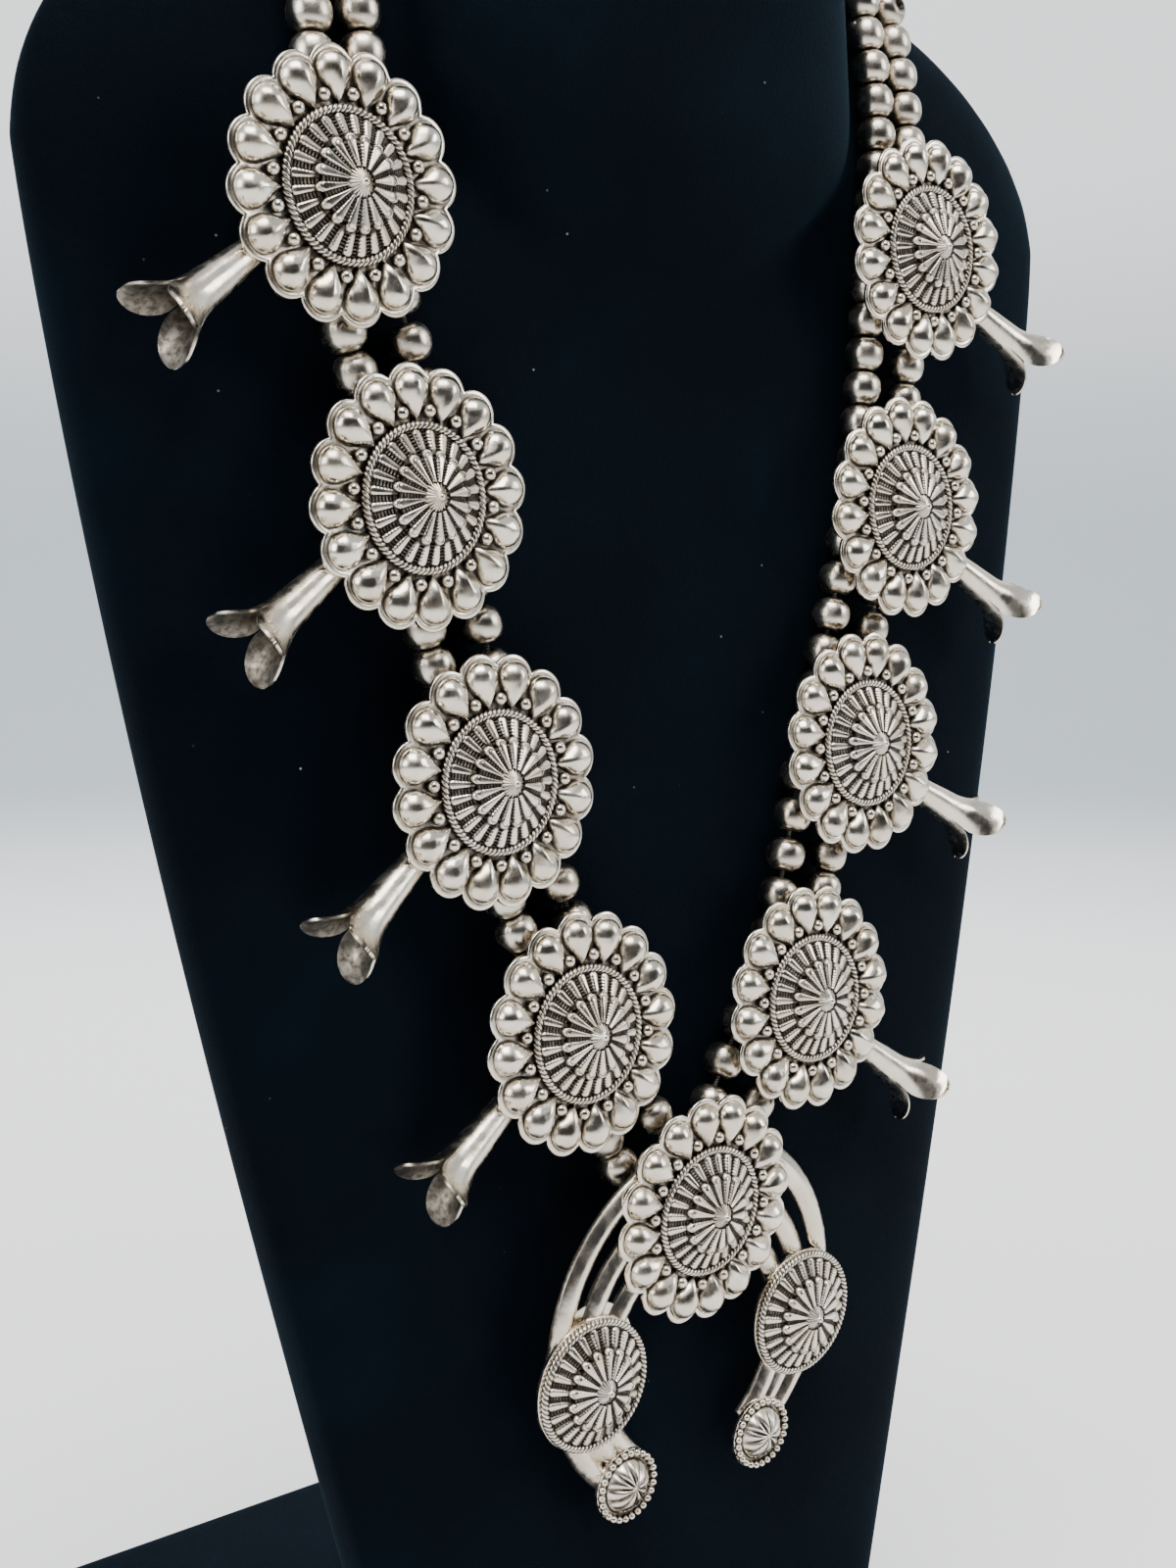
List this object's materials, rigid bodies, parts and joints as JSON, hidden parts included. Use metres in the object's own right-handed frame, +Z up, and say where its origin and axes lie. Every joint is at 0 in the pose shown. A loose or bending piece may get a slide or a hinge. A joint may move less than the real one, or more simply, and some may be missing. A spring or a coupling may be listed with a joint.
{
  "type": "squash blossom necklace on a neck bust",
  "caption": "Silver necklace of two bead strands with rosette and trumpet blossoms and a crescent pendant, hung on a black velvet neck bust with a base board.",
  "frame": {"origin": "middle of the underside of the base board", "axes": "+Z up, -Y towards the front of the bust, +X to the right of someone who faces it"},
  "size_m": [0.225, 0.18, 0.3881],
  "materials": {
    "velvet": "black cotton velvet with a short pile",
    "stamped_silver": "stamped and soldered silver, polished on the high parts and darkened in the recesses",
    "bead_silver": "satin silver bench beads, slightly worn",
    "thread": "thin foxtail chain, dull",
    "clasp_silver": "plain satin silver"
  },
  "bodies": {
    "root": {"neck_bust": "velvet", "base_board": "velvet", "blossom_left_1": "stamped_silver", "blossom_left_2": "stamped_silver", "blossom_left_3": "stamped_silver", "blossom_left_4": "stamped_silver", "blossom_right_1": "stamped_silver", "blossom_right_2": "stamped_silver", "blossom_right_3": "stamped_silver", "blossom_right_4": "stamped_silver", "naja": "stamped_silver", "inner_beads_left": "bead_silver", "inner_beads_right": "bead_silver", "outer_beads_left": "bead_silver", "outer_beads_right": "bead_silver", "inner_thread": "thread", "outer_thread": "thread", "clasp": "clasp_silver"}
  },
  "joints": []
}
